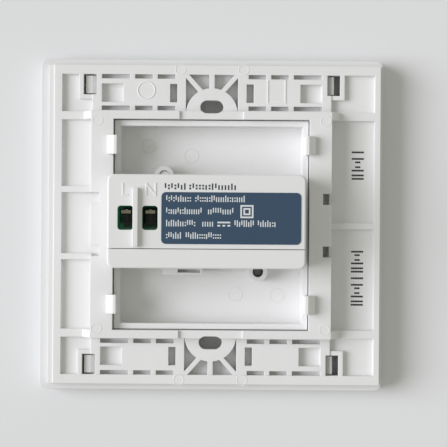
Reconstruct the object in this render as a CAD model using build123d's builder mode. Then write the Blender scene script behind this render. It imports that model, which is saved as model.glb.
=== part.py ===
from build123d import *
import os

os.makedirs("parts", exist_ok=True)

# A single-gang wall plate with a built-in USB charger, lying on its front face, in millimetres.
# The origin is the centre of the front face. +Z points out of the back, towards the wall, and +Y
# towards the plate's top edge.

# Clearances
fit_gap = 0.2  # between moulded pieces that slip together
part_gap = 0.4  # between neighbours on the circuit board
guide_gap = 0.15  # round a cage that slides
running_gap = 0.08  # round a screw that turns

# Front cover
plate_width = 88.0
plate_height = 85.0
plate_corner = 1.6
cover_edge_round = 0.9
cover_skin = 2.0
skirt_wall = 2.35
skirt_depth = 5.5
cover_hook_wall = 1.0
cover_hook_play = 0.3
cover_hook_catch = 0.9
cover_hook_head = 1.1
pad_margin = 0.6

# USB socket
usb_opening_width = 12.5
usb_opening_height = 5.1
usb_sheet = 0.3
usb_length = 10.2
usb_recess = 0.4
usb_block = 2.0
tongue_side_gap = 0.7
tongue_thickness = 1.84
tongue_top_gap = 0.33
tongue_setback = 1.6
contact_width = 1.0
contact_sheet = 0.25
contact_outer_pitch = 7.0
contact_inner_pitch = 2.0

# Circuit board and what stands on it
board_thickness = 1.6
solder_space = 3.55
bulk_diameter = 8.0
bulk_height = 11.0
bulk_offset = 0.5
fuse_diameter = 2.6
fuse_length = 6.2
lead_diameter = 0.6
choke_diameter = 5.5
choke_height = 8.0
choke_core = 3.4
choke_flange = 1.0
output_diameter = 6.3
output_height = 9.0
disc_diameter = 6.8
disc_thickness = 2.3
core_width = 13.0
core_length = 10.6
core_height = 6.0
core_leg = 3.6
core_yoke = 2.0
bobbin_wall = 0.6
bobbin_drop = 0.6
winding_drop = 1.8
bridge_size = (4.7, 3.9, 2.4)  # across X, along Z, height, and likewise below
switch_size = (4.9, 3.9, 1.5)
optocoupler_size = (3.6, 4.4, 2.0)
diode_size = (2.6, 4.3, 2.2)
chip_margin = 1.0
chip_leg = 0.5
chip_leg_sheet = 0.3
chip_leg_reach = 0.9
bridge_leg_count = 2
switch_leg_count = 4
optocoupler_leg_count = 2
diode_leg_count = 1

# Mains terminal block
pole_pitch = 6.1
block_width = 11.8
block_floor = 2.35
block_rear_wall = 1.05
block_front_wall = 0.5
screw_diameter = 2.0
screw_head_diameter = 3.2
screw_head_height = 1.5
screw_slot = 0.6
screw_shoulder = 0.7
screw_sink = 0.75
cage_width = 4.3
cage_depth = 3.2
cage_jaw = 0.8
cage_side = 0.75
cage_nut = 1.4
cage_travel = 2.0
jaw_opening = 2.3
bar_width = 2.4
bar_sheet = 0.8
tail_width = 1.2
tail_sheet = 0.6

# Charger module
case_wall = 1.5
shelf_wall = 1.1
split_gap = 0.15
split_drop = 1.58
case_corner = 1.6
case_edge_round = 0.5
overhang_right = 1.0
overhang_low = 1.4
side_room = 0.6
head_room = 0.8
entry_width = 3.9
entry_height = 6.0
entry_corner = 0.8
entry_drop = 1.1
divider_width = 1.3
divider_reach = 7.45
divider_margin = 0.4
divider_height = 1.3
divider_shift = -0.55
access_diameter = 3.4
lug_radius = 2.5
lug_hole = 2.7
lug_height = 5.0
lug_floor = 1.2
lug_reach = 2.5
lug_spread = 12.1
latch_width = 10.2
latch_reach = 3.3
latch_thickness = 1.4
latch_level = 8.0
latch_middle = -7.2
latch_slot_width = 5.7
latch_slot_height = 0.8
latch_rim = 0.6
foot_width = 15.0
foot_thickness = 1.2
label_width = 34.75
label_height = 12.9
label_corner = 1.15
label_sheet = 0.15
label_margin = 1.25
module_screw_diameter = 1.6
module_screw_head_diameter = 2.3
module_screw_head_height = 0.9
module_screw_cross = 0.4
module_screw_cross_length = 1.6
module_screw_grip = 1.6

# Centre panel
panel_step = 0.8
panel_wall = 1.45
panel_lip = 1.9
panel_edge_round = 0.5
tray_room = 0.6
tray_height = 50.4
tray_wall_height = 6.95
snap_width = 4.8
snap_spacing = 40.4
snap_catch = 1.75
snap_wall = 0.9
snap_head = 1.9
peg_drop = 0.6

# Mounting grid
ledge_left = 2.2
ledge_right = 0.7
ledge_end = 1.6
rim_left_width = 3.4
rim_right_width = 1.5
rim_end_width = 2.4
rim_rise = 2.6
rim_step_width = 1.4
rim_step_height = 0.45
web_drop = 0.5
web_thickness = 1.65
bar_rise = 0.3
column_rise = 3.6
column_width = 5.7
column_skin = 1.45
ring_wall = 2.1
ring_dip = 0.7
slot_centres = 60.3
slot_length = 5.9
slot_width = 3.5
slot_clearance = 1.2
fan_half_width = 6.65
fan_wall = 1.5
fan_rib = 1.4
fan_brace = 1.2
fan_brace_angle = 48.0
vent_width = 1.8
vent_gap = 0.75
recess_width = 5.5
recess_height = 4.7
recess_depth = 1.9
recess_wall = 1.4
channel_gap = 1.25
channel_inset = 0.35
channel_width = 1.1
channel_depth = 2.6
channel_length = 4.5
channel_rib = 1.3
window_inset = 1.05
window_play = 1.2
window_height = 5.2
window_wall = 1.15
window_ledge = 0.8
rib_width = 1.6
left_rib_places = (8.95, -8.3)
right_rib_places = (-0.1,)
corner_rib_width = 2.1
corner_rib_ramp = 2.2
notch_width = 2.2
notch_height = 2.8
notch_spacing = 13.4

# Levels above the front face
panel_back = cover_skin + panel_step
web_low = skirt_depth - web_drop
pocket_floor = web_low + web_thickness
rim_top = skirt_depth + rim_rise
bar_top = rim_top + bar_rise
column_top = bar_top + column_rise

# USB socket and board
usb_width = usb_opening_width + 2 * usb_sheet
usb_height = usb_opening_height + 2 * usb_sheet
usb_back = usb_recess + usb_length
board_top = -usb_height / 2
board_under = board_top - board_thickness

# Row of large parts behind the socket, from the bulk capacitors to both sides
bobbin_height = bulk_height - bobbin_drop
winding_height = bobbin_height - winding_drop
bulk_places = (bulk_offset - bulk_diameter - part_gap, bulk_offset)
disc_x = bulk_places[1] + bulk_diameter / 2 + part_gap + disc_thickness / 2
core_left = max(disc_x + disc_thickness / 2, usb_width / 2) + part_gap
core_x = core_left + core_width / 2
block_right = bulk_places[0] - bulk_diameter / 2 - part_gap
block_x = block_right - block_width / 2
pole_places = {"live": block_x - pole_pitch / 2, "neutral": block_x + pole_pitch / 2}

# Clamp heights above the board
cavity_low = board_top + block_floor
cage_low = cavity_low + guide_gap
jaw_top = cage_low + cage_jaw
bar_low = jaw_top + jaw_opening
bar_high = bar_low + bar_sheet
nut_low = bar_high + fit_gap
cage_high = nut_low + cage_nut
cavity_high = cage_high + cage_travel + guide_gap
head_low = cavity_high + screw_shoulder
block_top = head_low + screw_head_height + screw_sink

# Charger module, sized round what it holds
body_front = panel_back + case_wall
board_front = body_front + part_gap
output_x = -(usb_width / 2 + part_gap + output_diameter / 2)
output_z = board_front + output_diameter / 2
choke_x = output_x - (output_diameter + choke_diameter) / 2 - part_gap
choke_z = board_front + choke_diameter / 2
fuse_z = choke_z + (choke_diameter + fuse_diameter) / 2 + part_gap
shelf_level = column_top + 2 * fit_gap
shelf_top = shelf_level + shelf_wall
block_front = max(shelf_top + fit_gap / 2, fuse_z + fuse_diameter / 2 + part_gap)
tail_front = block_front + block_front_wall
cage_front = tail_front + tail_sheet + 2 * guide_gap
block_back = cage_front + cage_depth + guide_gap + block_rear_wall
cage_z = cage_front + cage_depth / 2
bulk_z = max(usb_back + contact_sheet, board_front + output_diameter) + part_gap + bulk_diameter / 2
inner_back = max(block_back, bulk_z + bulk_diameter / 2) + fit_gap / 2
module_back = inner_back + case_wall
fuse_reach = fuse_length / 2 + lead_diameter
row_left = choke_x - max(choke_diameter / 2, fuse_reach + lead_diameter / 2)
body_half_width = max(core_x + core_width / 2 + side_room, part_gap - row_left) + case_wall
body_top = board_top + max(bulk_height, bobbin_height) + part_gap + case_wall
body_bottom = board_under - solder_space - case_wall
body_y = (body_top + body_bottom) / 2
module_left = block_x - block_width / 2 - fit_gap - case_wall
module_right = body_half_width + overhang_right
module_top = block_top + head_room + case_wall
module_bottom = body_bottom - overhang_low
module_x = (module_left + module_right) / 2
module_y = (module_top + module_bottom) / 2
split_y = board_under - split_drop
entry_y = bar_low - entry_drop
core_z = inner_back - part_gap - core_length / 2
peg_place = (-lug_spread, body_top + lug_reach)
screw_place = (lug_spread, body_bottom - lug_reach)
lug_seat = panel_back + lug_floor

# Tray, opening and columns, sized round the module
tray_half_width = body_half_width + tray_room
tray_half_height = tray_height / 2
panel_half_width = tray_half_width + panel_wall
panel_half_height = tray_half_height + panel_wall
opening_half_width = panel_half_width + fit_gap
opening_half_height = panel_half_height + fit_gap
flange_width = 2 * (opening_half_width + panel_lip)
flange_height = 2 * (opening_half_height + panel_lip)
tray_wall_top = panel_back + tray_wall_height
column_out = opening_half_width + column_width
ring_out = opening_half_height + ring_wall

# Grid outline
skirt_half_width = plate_width / 2 - skirt_wall
skirt_half_height = plate_height / 2 - skirt_wall
rim_x = (ledge_left - plate_width / 2, plate_width / 2 - ledge_right)
rim_y = plate_height / 2 - ledge_end
pocket_x = (rim_x[0] + rim_left_width, rim_x[1] - rim_right_width)
bar_out = rim_y - rim_end_width
bar_middle = (ring_out + bar_out) / 2
bar_end = column_out - window_inset
notch_low = (notch_spacing - notch_height) / 2
notch_high = (notch_spacing + notch_height) / 2
fan_out = fan_half_width + fan_wall
fan_base = slot_centres / 2 - slot_width / 2
recess_floor = bar_top - recess_depth
hook_in = bar_end + fit_gap
post_in = hook_in + cover_hook_catch
post_out = post_in + cover_hook_wall
window_out = post_out + window_play
window_low = bar_out - window_height
ledge_top = web_low + window_ledge
pad_top = web_low - fit_gap
pad_out = fan_out + vent_gap + vent_width + pad_margin
pad_near = bar_middle - recess_height / 2 - pad_margin


def span_rectangle(x_span, y_span, mode=Mode.ADD):
    """Rectangle between two X and two Y values, in the sketch being drawn."""
    with Locations(((x_span[0] + x_span[1]) / 2, (y_span[0] + y_span[1]) / 2)):
        Rectangle(abs(x_span[1] - x_span[0]), abs(y_span[1] - y_span[0]), mode=mode)


def span_box(x_span, y_span, z_span, mode=Mode.ADD):
    """Box between two X, two Y and two Z values, in the part being built."""
    middle = [(span[0] + span[1]) / 2 for span in (x_span, y_span, z_span)]
    with Locations(tuple(middle)):
        Box(*[abs(span[1] - span[0]) for span in (x_span, y_span, z_span)], mode=mode)


def section_at(y):
    """Plane of a cross-section at the given Y, with X across and Z up."""
    return Plane.XZ.offset(-y)


def layer_at(y):
    """Plane parallel to the circuit board at the given Y, facing +Y, with Z across and X up."""
    return Plane(origin=(0, y, 0), x_dir=(0, 0, 1), z_dir=(0, 1, 0))


def on_layer(x, z):
    """Place on a layer plane of a point with the given X and Z."""
    return (z, x)


# Front surround: skin with a skirt round it, open for the centre panel, and a snap hook at each corner
with BuildPart() as cover_frame:
    with BuildSketch():
        RectangleRounded(plate_width, plate_height, plate_corner)
    extrude(amount=skirt_depth)
    with BuildSketch(Plane.XY.offset(cover_skin)):
        Rectangle(2 * skirt_half_width, 2 * skirt_half_height)
    extrude(amount=skirt_depth - cover_skin, mode=Mode.SUBTRACT)
    fillet(cover_frame.faces().sort_by(Axis.Z)[0].outer_wire().edges(), cover_edge_round)
    with BuildSketch():
        Rectangle(flange_width + 2 * fit_gap, flange_height + 2 * fit_gap)
    extrude(amount=cover_skin, mode=Mode.SUBTRACT)
    # Pads close behind the grid's fans and vents, open round each fixing slot
    with BuildSketch(Plane.XY.offset(cover_skin)):
        for end in (-1, 1):
            span_rectangle((-pad_out, pad_out), (end * pad_near, end * (bar_out + pad_margin)))
        with Locations((0, -slot_centres / 2), (0, slot_centres / 2)):
            Rectangle(
                slot_length + 2 * slot_clearance,
                slot_width + 2 * slot_clearance,
                mode=Mode.SUBTRACT,
            )
    extrude(amount=pad_top - cover_skin)
    catch_level = ledge_top + fit_gap / 2
    hook_top = catch_level + cover_hook_head
    for end in (-1, 1):
        for side in (-1, 1):
            with BuildSketch(section_at(end * (window_low + bar_out) / 2)):
                Polygon(
                    (side * post_out, cover_skin),
                    (side * post_out, hook_top),
                    (side * post_in, hook_top),
                    (side * hook_in, catch_level + cover_hook_head / 3),
                    (side * hook_in, catch_level),
                    (side * post_in, catch_level),
                    (side * post_in, cover_skin),
                )
            extrude(amount=window_height / 2 - cover_hook_play, both=True)
cover_frame.part.label = "cover_frame"
export_step(cover_frame.part, "parts/cover_frame.step")

# Moulded carrier that the wall screws hold: pocketed web, rim, hollow columns and fan-ribbed end bars
with BuildPart() as mounting_grid:
    with BuildSketch(Plane.XY.offset(web_low)):
        Rectangle(2 * (skirt_half_width - fit_gap), 2 * (skirt_half_height - fit_gap))
    extrude(amount=web_thickness)
    with BuildSketch(Plane.XY.offset(skirt_depth)):
        span_rectangle(rim_x, (-rim_y, rim_y))
    extrude(amount=rim_rise)
    with BuildSketch(Plane.XY.offset(pocket_floor)):
        span_rectangle(pocket_x, (-bar_out, bar_out))
    extrude(amount=rim_rise, mode=Mode.SUBTRACT)
    # Low step along the outside of the left rim
    span_box(
        (rim_x[0], rim_x[0] + rim_step_width),
        (-rim_y, rim_y),
        (rim_top - rim_step_height, rim_top),
        mode=Mode.SUBTRACT,
    )
    # Ribs across the side pockets
    with BuildSketch(Plane.XY.offset(pocket_floor)):
        for place in left_rib_places:
            span_rectangle((pocket_x[0], -column_out), (place - rib_width / 2, place + rib_width / 2))
        for place in right_rib_places:
            span_rectangle((column_out, pocket_x[1]), (place - rib_width / 2, place + rib_width / 2))
    extrude(amount=rim_top - pocket_floor)
    # Corner ribs that ramp up to the columns
    for end in (-1, 1):
        for side, pocket_edge in ((-1, pocket_x[0]), (1, pocket_x[1])):
            with BuildSketch(section_at(end * (ring_out - corner_rib_width / 2))):
                Polygon(
                    (pocket_edge, pocket_floor),
                    (pocket_edge, rim_top),
                    (side * (column_out + corner_rib_ramp), rim_top),
                    (side * column_out, column_top),
                    (side * column_out, pocket_floor),
                )
            extrude(amount=corner_rib_width / 2, both=True)
    # End bars and the loops round the corner windows
    with BuildSketch(Plane.XY.offset(pocket_floor)):
        for end in (-1, 1):
            span_rectangle((-column_out, column_out), (end * ring_out, end * window_low))
            span_rectangle((-bar_end, bar_end), (end * window_low, end * bar_out))
    extrude(amount=bar_top - pocket_floor)
    with BuildSketch(Plane.XY.offset(pocket_floor)):
        for end in (-1, 1):
            for side in (-1, 1):
                span_rectangle(
                    (side * bar_end, side * (window_out + window_wall)),
                    (end * (window_low - window_wall), end * bar_out),
                )
    extrude(amount=rim_top - pocket_floor)
    # Ring of columns and end walls round the opening, standing on the centre panel's lip
    with BuildSketch(Plane.XY.offset(panel_back)):
        Rectangle(2 * column_out, 2 * ring_out)
    extrude(amount=column_top - panel_back)
    with BuildSketch(Plane.XY.offset(panel_back)):
        Rectangle(2 * opening_half_width, 2 * opening_half_height)
    extrude(amount=column_top - panel_back, mode=Mode.SUBTRACT)
    # The columns are hollow from the front, apart from where they are notched
    with BuildSketch(Plane.XY.offset(panel_back)):
        for side in (-1, 1):
            core_x_span = (side * (opening_half_width + column_skin), side * (column_out - column_skin))
            span_rectangle(core_x_span, (column_skin - notch_low, notch_low - column_skin))
            for end in (-1, 1):
                span_rectangle(
                    core_x_span,
                    (end * (notch_high + column_skin), end * (opening_half_height - column_skin)),
                )
    extrude(amount=column_top - column_skin - panel_back, mode=Mode.SUBTRACT)
    # The end walls dip a little in front of the fixing slots
    for end in (-1, 1):
        span_box(
            (-fan_out, fan_out),
            (end * opening_half_height, end * ring_out),
            (column_top - ring_dip, column_top),
            mode=Mode.SUBTRACT,
        )
    # Cuts in the end bars, the same at both ends after half a turn
    for half_turn in (0, 180):
        bar_plane = Plane.XY.rotated((0, 0, half_turn))
        with BuildSketch(bar_plane.offset(web_low)):
            span_rectangle((-fan_half_width, fan_half_width), (ring_out, bar_out))
            with Locations((0, fan_base)):
                Circle(fan_half_width, mode=Mode.SUBTRACT)
            span_rectangle((-fan_rib / 2, fan_rib / 2), (fan_base, bar_out), mode=Mode.SUBTRACT)
            for side in (-1, 1):
                with Locations((side * fan_half_width, bar_out)):
                    Rectangle(
                        2 * fan_half_width,
                        fan_brace,
                        rotation=side * fan_brace_angle,
                        mode=Mode.SUBTRACT,
                    )
                vent_near = side * (fan_out + vent_gap)
                span_rectangle(
                    (vent_near, vent_near + side * vent_width),
                    (bar_middle - recess_height / 2, bar_middle + recess_height / 2),
                )
                span_rectangle((side * bar_end, side * window_out), (window_low, bar_out))
        extrude(amount=column_top - web_low, mode=Mode.SUBTRACT)
        with BuildSketch(bar_plane.offset(panel_back)):
            with Locations((0, slot_centres / 2)):
                SlotOverall(slot_length, slot_width)
        extrude(amount=column_top - panel_back, mode=Mode.SUBTRACT)
        channel_start = fan_out + channel_gap
        channel_step = channel_length + channel_rib
        channel_places = (
            (channel_start, channel_start + channel_length),
            (channel_start + channel_step, channel_start + channel_step + channel_length),
            (channel_start + 2 * channel_step, bar_end - recess_wall),
        )
        with BuildSketch(bar_plane.offset(recess_floor)):
            for side in (-1, 1):
                recess_far = bar_end - recess_wall
                span_rectangle(
                    (side * (recess_far - recess_width), side * recess_far),
                    (bar_middle - recess_height / 2, bar_middle + recess_height / 2),
                )
        extrude(amount=recess_depth, mode=Mode.SUBTRACT)
        with BuildSketch(bar_plane.offset(bar_top - channel_depth)):
            channel_near = ring_out + channel_inset
            for side in (-1, 1):
                for place in channel_places:
                    channel_x = (side * place[0], side * place[1])
                    span_rectangle(channel_x, (channel_near, channel_near + channel_width))
                    span_rectangle(channel_x, (bar_out - channel_width, bar_out))
        extrude(amount=channel_depth, mode=Mode.SUBTRACT)
    # Ledges in the windows, under the cover's hooks
    for end in (-1, 1):
        for side in (-1, 1):
            ledge_x = (side * bar_end, side * (bar_end + cover_hook_catch))
            span_box(ledge_x, (end * window_low, end * bar_out), (web_low, ledge_top))
    # Two notches in the outside of each column
    for side in (-1, 1):
        for end in (-1, 1):
            span_box(
                (side * (column_out - notch_width), side * column_out),
                (end * notch_low, end * notch_high),
                (pocket_floor, column_top),
                mode=Mode.SUBTRACT,
            )
mounting_grid.part.label = "mounting_grid"
export_step(mounting_grid.part, "parts/mounting_grid.step")

# Centre panel: front plate with a lip, tray walls through the grid's opening and four snap hooks
with BuildPart() as centre_panel:
    with BuildSketch():
        Rectangle(flange_width, flange_height)
    extrude(amount=panel_back)
    fillet(centre_panel.faces().sort_by(Axis.Z)[0].edges(), panel_edge_round)
    with BuildSketch(Plane.XY.offset(panel_back)):
        Rectangle(2 * panel_half_width, 2 * panel_half_height)
        Rectangle(2 * tray_half_width, 2 * tray_half_height, mode=Mode.SUBTRACT)
    extrude(amount=tray_wall_height)
    with BuildSketch():
        Rectangle(usb_width + 2 * fit_gap, usb_height + 2 * fit_gap)
    extrude(amount=panel_back, mode=Mode.SUBTRACT)
    snap_low = column_top + fit_gap / 2
    snap_top = snap_low + snap_head
    for end in (-1, 1):
        for side in (-1, 1):
            with BuildSketch(section_at(end * snap_spacing / 2)):
                Polygon(
                    (side * (panel_half_width - snap_wall), tray_wall_top - panel_wall),
                    (side * (panel_half_width - snap_wall), snap_top),
                    (side * (panel_half_width + snap_catch), snap_low + snap_head / 3),
                    (side * (panel_half_width + snap_catch), snap_low),
                    (side * panel_half_width, snap_low),
                    (side * panel_half_width, tray_wall_top - panel_wall),
                )
            extrude(amount=snap_width / 2, both=True)
    with BuildSketch(Plane.XY.offset(panel_back)):
        with Locations(peg_place):
            Circle(lug_hole / 2 - running_gap)
    extrude(amount=lug_height - peg_drop)
    with Locations((*screw_place, panel_back)):
        Hole(module_screw_diameter / 2 + running_gap, depth=module_screw_grip)
centre_panel.part.label = "centre_panel"
export_step(centre_panel.part, "parts/centre_panel.step")


def module_shell():
    """Hollow charger case, narrow inside the tray and wider behind the grid, before it is split."""
    with BuildPart() as shell:
        with BuildSketch(Plane.XY.offset(panel_back)):
            with Locations((0, body_y)):
                RectangleRounded(2 * body_half_width, body_top - body_bottom, case_corner)
        extrude(amount=shelf_top - panel_back)
        with BuildSketch(Plane.XY.offset(shelf_level)):
            with Locations((module_x, module_y)):
                RectangleRounded(module_right - module_left, module_top - module_bottom, case_corner)
        extrude(amount=module_back - shelf_level)
        fillet(shell.faces().sort_by(Axis.Z)[-1].edges(), case_edge_round)
        with BuildSketch(Plane.XY.offset(body_front)):
            span_rectangle(
                (case_wall - body_half_width, body_half_width - case_wall),
                (body_bottom + case_wall, body_top - case_wall),
            )
        extrude(amount=shelf_top - body_front, mode=Mode.SUBTRACT)
        with BuildSketch(Plane.XY.offset(shelf_top)):
            span_rectangle(
                (module_left + case_wall, module_right - case_wall),
                (module_bottom + case_wall, module_top - case_wall),
            )
        extrude(amount=inner_back - shelf_top, mode=Mode.SUBTRACT)
    return shell.part


# Upper case half: wire entries with the divider between them, screw access, socket cut-out and a lug
with BuildPart() as module_case:
    add(module_shell())
    split(bisect_by=layer_at(split_y + split_gap / 2), keep=Keep.TOP)
    with BuildSketch(Plane.XY.offset(panel_back)):
        with Locations(peg_place):
            Circle(lug_radius)
        span_rectangle(
            (peg_place[0] - lug_radius, peg_place[0] + lug_radius),
            (body_top - case_wall, peg_place[1]),
        )
    extrude(amount=lug_height)
    with Locations((*peg_place, panel_back + lug_height)):
        Hole(lug_hole / 2, depth=lug_height)
    with BuildSketch(Plane.XY.offset(inner_back)):
        divider_x = block_x + divider_shift
        span_rectangle(
            (divider_x - divider_width / 2, divider_x + divider_width / 2),
            (split_y + split_gap / 2 + divider_margin, entry_y + divider_reach),
        )
    extrude(amount=case_wall + divider_height)
    with BuildSketch(Plane.XY.offset(inner_back)):
        with Locations(*[(place, entry_y) for place in pole_places.values()]):
            RectangleRounded(entry_width, entry_height, entry_corner)
    extrude(amount=case_wall, mode=Mode.SUBTRACT)
    with BuildSketch(layer_at(module_top - case_wall)):
        with Locations(*[on_layer(place, cage_z) for place in pole_places.values()]):
            Circle(access_diameter / 2)
    extrude(amount=case_wall, mode=Mode.SUBTRACT)
    with BuildSketch(Plane.XY.offset(panel_back)):
        Rectangle(usb_width + 2 * fit_gap, usb_height + 2 * fit_gap)
    extrude(amount=case_wall, mode=Mode.SUBTRACT)
module_case.part.label = "module_case"
export_step(module_case.part, "parts/module_case.step")

# Lower case half: strip behind the board with its rests, latch loop, foot and lug
with BuildPart() as module_base:
    add(module_shell())
    split(bisect_by=layer_at(split_y - split_gap / 2), keep=Keep.BOTTOM)
    with BuildSketch(Plane.XY.offset(panel_back)):
        with Locations(screw_place):
            Circle(lug_radius)
        span_rectangle(
            (screw_place[0] - lug_radius, screw_place[0] + lug_radius),
            (screw_place[1], body_bottom + case_wall),
        )
    extrude(amount=lug_height)
    with BuildSketch(Plane.XY.offset(panel_back)):
        span_rectangle(
            (screw_place[0] - foot_width, screw_place[0]),
            (screw_place[1], body_bottom + case_wall),
        )
    extrude(amount=foot_thickness)
    with Locations((*screw_place, panel_back + lug_height)):
        CounterBoreHole(
            module_screw_diameter / 2 + running_gap, lug_hole / 2, lug_height - lug_floor, depth=lug_height
        )
    with BuildSketch(Plane.XY.offset(latch_level)):
        latch_low = body_bottom - latch_reach
        span_rectangle(
            (latch_middle - latch_width / 2, latch_middle + latch_width / 2),
            (latch_low, body_bottom + case_wall / 2),
        )
        slot_right = latch_middle + latch_width / 2 - latch_rim
        span_rectangle(
            (slot_right - latch_slot_width, slot_right),
            (latch_low + latch_rim, latch_low + latch_rim + latch_slot_height),
            mode=Mode.SUBTRACT,
        )
    extrude(amount=latch_thickness)
    # Two rests along the sides carry the board
    for side in (-1, 1):
        rest_x = side * (body_half_width - 2 * case_wall)
        span_box(
            (rest_x - case_wall / 2, rest_x + case_wall / 2),
            (body_bottom + case_wall / 2, board_under),
            (body_front, shelf_level),
        )
module_base.part.label = "module_base"
export_step(module_base.part, "parts/module_base.step")

# Screw that holds the lower lug to the panel, with its head in the lug's counterbore
with BuildPart() as module_screw:
    with BuildSketch(Plane.XY.offset(panel_back - module_screw_grip + fit_gap)):
        with Locations(screw_place):
            Circle(module_screw_diameter / 2)
    extrude(amount=lug_floor + module_screw_grip - fit_gap)
    with BuildSketch(Plane.XY.offset(lug_seat)):
        with Locations(screw_place):
            Circle(module_screw_head_diameter / 2)
    extrude(amount=module_screw_head_height)
    head_rim = module_screw.faces().sort_by(Axis.Z)[-1].edges()
    chamfer(head_rim, module_screw_head_height / 4)
    with BuildSketch(Plane.XY.offset(lug_seat + module_screw_head_height / 2)):
        with Locations(screw_place):
            Rectangle(module_screw_cross_length, module_screw_cross)
            Rectangle(module_screw_cross, module_screw_cross_length)
    extrude(amount=module_screw_head_height / 2, mode=Mode.SUBTRACT)
module_screw.part.label = "module_screw"
export_step(module_screw.part, "parts/module_screw.step")

# Rating plate, a thin printed film on the case's back
with BuildPart() as rating_label:
    with BuildSketch(Plane.XY.offset(module_back)):
        with Locations((module_right - label_margin - label_width / 2, entry_y)):
            RectangleRounded(label_width, label_height, label_corner)
    extrude(amount=label_sheet)
rating_label.part.label = "rating_label"
export_step(rating_label.part, "parts/rating_label.step")

# Circuit board on edge behind the socket, wider behind the shelf
with BuildPart() as circuit_board:
    with BuildSketch(layer_at(board_under)):
        board_half = body_half_width - case_wall - fit_gap
        span_rectangle((board_front, inner_back - fit_gap), (-board_half, board_half))
        span_rectangle(
            (shelf_top + fit_gap / 2, inner_back - fit_gap),
            (module_left + case_wall + fit_gap, module_right - case_wall - fit_gap),
        )
        for place in pole_places.values():
            with Locations(on_layer(place, tail_front + guide_gap + tail_sheet / 2)):
                Rectangle(tail_sheet + fit_gap, tail_width + fit_gap, mode=Mode.SUBTRACT)
    extrude(amount=board_thickness)
circuit_board.part.label = "circuit_board"
export_step(circuit_board.part, "parts/circuit_board.step")

# Two-pole terminal block, with a cage well, a wire funnel and a screw bore for each pole
with BuildPart() as terminal_block:
    span_box(
        (block_x - block_width / 2, block_x + block_width / 2),
        (board_top, block_top),
        (block_front, block_back),
    )
    for place in pole_places.values():
        well_half = cage_width / 2 + guide_gap
        span_box(
            (place - well_half, place + well_half),
            (cavity_low, cavity_high),
            (cage_front - guide_gap, cage_front + cage_depth + guide_gap),
            mode=Mode.SUBTRACT,
        )
        funnel_front = cage_front + cage_depth + guide_gap
        with BuildSketch(Plane.XY.offset(block_back)):
            with Locations((place, entry_y)):
                Rectangle(entry_width, entry_height)
        with BuildSketch(Plane.XY.offset(funnel_front)):
            span_rectangle(
                (place - bar_width / 2 - fit_gap, place + bar_width / 2 + fit_gap),
                (jaw_top - fit_gap, bar_high + fit_gap),
            )
        loft(mode=Mode.SUBTRACT)
        # Way for the contact bar and its tail
        span_box(
            (place - bar_width / 2 - guide_gap, place + bar_width / 2 + guide_gap),
            (bar_low - guide_gap, bar_high + guide_gap),
            (tail_front, funnel_front),
            mode=Mode.SUBTRACT,
        )
        span_box(
            (place - tail_width / 2 - guide_gap, place + tail_width / 2 + guide_gap),
            (board_top, bar_high),
            (tail_front, tail_front + tail_sheet + 2 * guide_gap),
            mode=Mode.SUBTRACT,
        )
        with BuildSketch(layer_at(cavity_high)):
            with Locations(on_layer(place, cage_z)):
                Circle(screw_diameter / 2 + running_gap)
        extrude(amount=screw_shoulder, mode=Mode.SUBTRACT)
        with BuildSketch(layer_at(head_low)):
            with Locations(on_layer(place, cage_z)):
                Circle(screw_head_diameter / 2 + running_gap)
        extrude(amount=block_top - head_low, mode=Mode.SUBTRACT)
terminal_block.part.label = "terminal_block"
export_step(terminal_block.part, "parts/terminal_block.step")

# Per pole: a contact bar with its solder tail, a captive screw and the cage that rises on it
for pole, place in pole_places.items():
    with BuildPart() as contact_bar:
        bar_front = tail_front + guide_gap
        span_box(
            (place - bar_width / 2, place + bar_width / 2),
            (bar_low, bar_high),
            (bar_front, cage_front + cage_depth + guide_gap),
        )
        span_box(
            (place - tail_width / 2, place + tail_width / 2),
            (board_under - tail_sheet, bar_high),
            (bar_front, bar_front + tail_sheet),
        )
    contact_bar.part.label = "contact_bar_" + pole
    export_step(contact_bar.part, "parts/contact_bar_" + pole + ".step")

    with BuildPart() as clamp_screw:
        shank_low = bar_high + running_gap
        with BuildSketch(layer_at(shank_low)):
            with Locations(on_layer(place, cage_z)):
                Circle(screw_diameter / 2)
        extrude(amount=head_low + running_gap - shank_low)
        with BuildSketch(layer_at(head_low + running_gap)):
            with Locations(on_layer(place, cage_z)):
                Circle(screw_head_diameter / 2)
        extrude(amount=screw_head_height)
        with BuildSketch(layer_at(head_low + running_gap + screw_head_height / 2)):
            with Locations(on_layer(place, cage_z)):
                Rectangle(screw_slot, screw_head_diameter)
        extrude(amount=screw_head_height, mode=Mode.SUBTRACT)
    clamp_screw.part.label = "clamp_screw_" + pole
    export_step(clamp_screw.part, "parts/clamp_screw_" + pole + ".step")

    with BuildPart() as clamp_cage:
        cage_z_span = (cage_front, cage_front + cage_depth)
        span_box((place - cage_width / 2, place + cage_width / 2), (cage_low, cage_high), cage_z_span)
        window_half = cage_width / 2 - cage_side
        span_box(
            (place - window_half, place + window_half), (jaw_top, nut_low), cage_z_span, mode=Mode.SUBTRACT
        )
        with BuildSketch(layer_at(nut_low)):
            with Locations(on_layer(place, cage_z)):
                Circle(screw_diameter / 2 + running_gap)
        extrude(amount=cage_nut, mode=Mode.SUBTRACT)
    clamp_cage.part.label = "clamp_cage_" + pole
    export_step(clamp_cage.part, "parts/clamp_cage_" + pole + ".step")

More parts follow.
